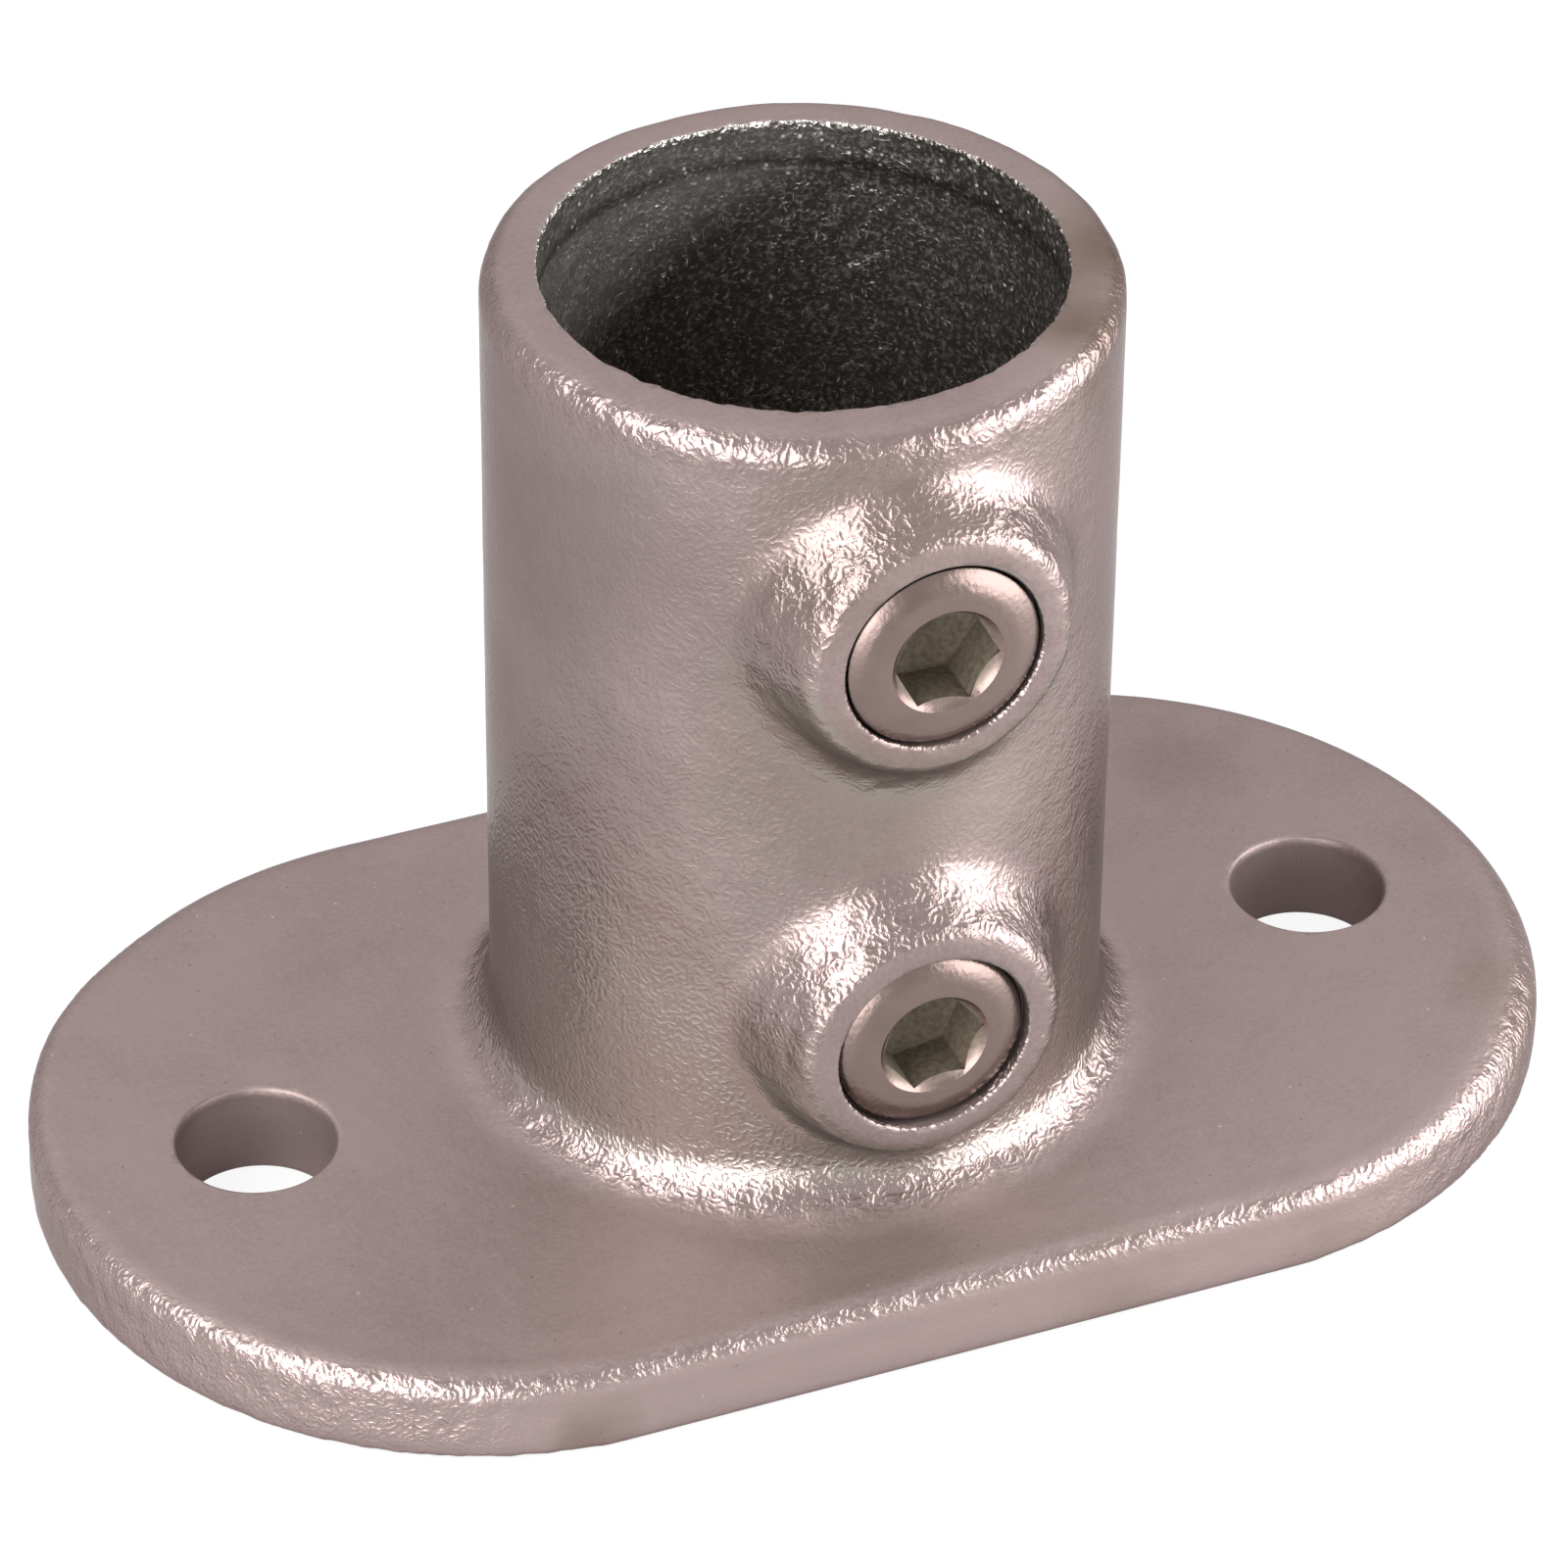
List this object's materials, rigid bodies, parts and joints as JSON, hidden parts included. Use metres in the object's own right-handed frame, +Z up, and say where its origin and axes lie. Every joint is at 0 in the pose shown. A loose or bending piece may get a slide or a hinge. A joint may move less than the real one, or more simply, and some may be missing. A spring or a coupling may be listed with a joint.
{
  "type": "tube clamp base flange",
  "caption": "Galvanised cast base flange: an obround plate with an upright socket that clamps a round tube with set screws turned in from the front.",
  "frame": {"origin": "middle of the plate's underside, on the axis of the tube socket", "axes": "+X along the plate, -Y out of the set screw bosses, +Z up the tube socket"},
  "size_m": [0.1364, 0.079, 0.086],
  "materials": {
    "galvanised_casting": "hot-dip galvanised, satin, slightly wrinkled",
    "plated_steel": "zinc plated, turned, satin"
  },
  "bodies": {
    "flange": {"flange_casting": "galvanised_casting"},
    "upper_screw": {"upper_set_screw": "plated_steel"},
    "lower_screw": {"lower_set_screw": "plated_steel"}
  },
  "joints": [
    {"name": "upper_screw_travel", "type": "slide", "parent": "flange", "child": "upper_screw", "axis": [0, 1, 0], "range_m": [-0.00401, 0.00535]},
    {"name": "lower_screw_travel", "type": "slide", "parent": "flange", "child": "lower_screw", "axis": [0, 1, 0], "range_m": [-0.00401, 0.00535]}
  ]
}
